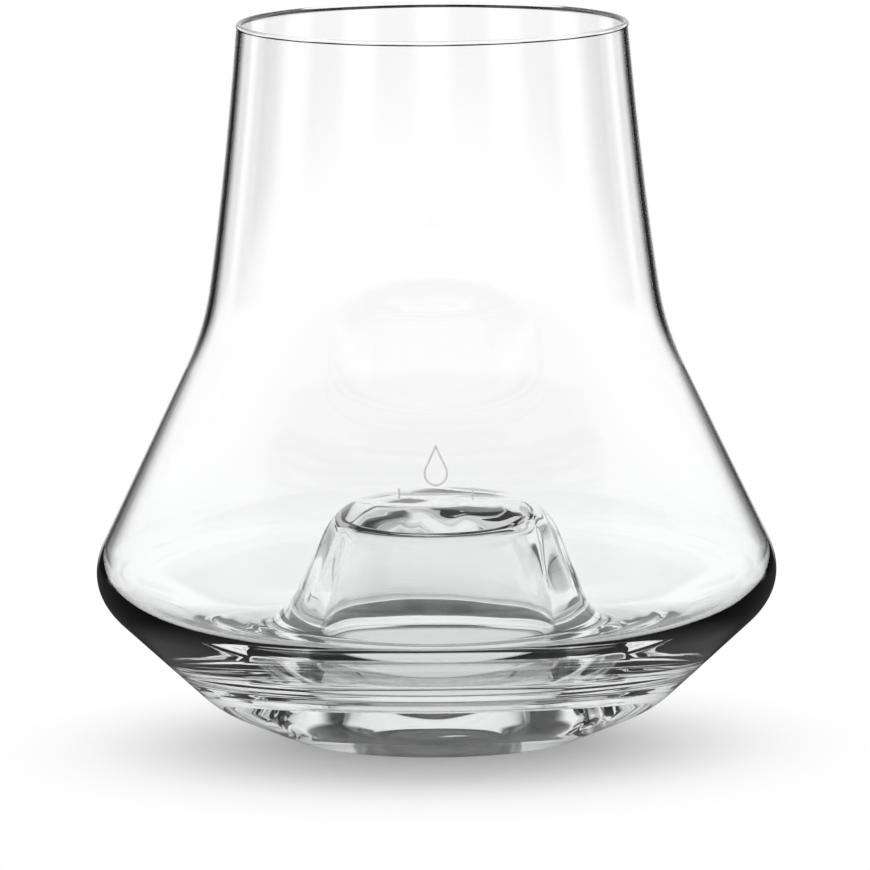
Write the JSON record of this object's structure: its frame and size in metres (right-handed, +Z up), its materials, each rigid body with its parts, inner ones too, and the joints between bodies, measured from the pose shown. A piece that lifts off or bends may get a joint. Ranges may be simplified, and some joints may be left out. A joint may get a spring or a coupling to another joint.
{
  "type": "whisky nosing glass",
  "caption": "Clear stemless nosing glass with a narrow neck, wide low belly, heavy base and a hollow dome raised in its floor.",
  "frame": {"origin": "centre of the standing ring, on the surface that the glass stands on", "axes": "+Z up along the glass's axis of revolution, from the standing ring to the lip; -Y is the side that carries the printed fill mark"},
  "size_m": [0.097, 0.097, 0.1023],
  "materials": {
    "clear_glass": "fire-polished clear",
    "fired_ink": "satin"
  },
  "bodies": {
    "root": {"bowl": "clear_glass", "base": "clear_glass", "dome": "clear_glass", "fill_mark": "fired_ink"}
  },
  "joints": []
}
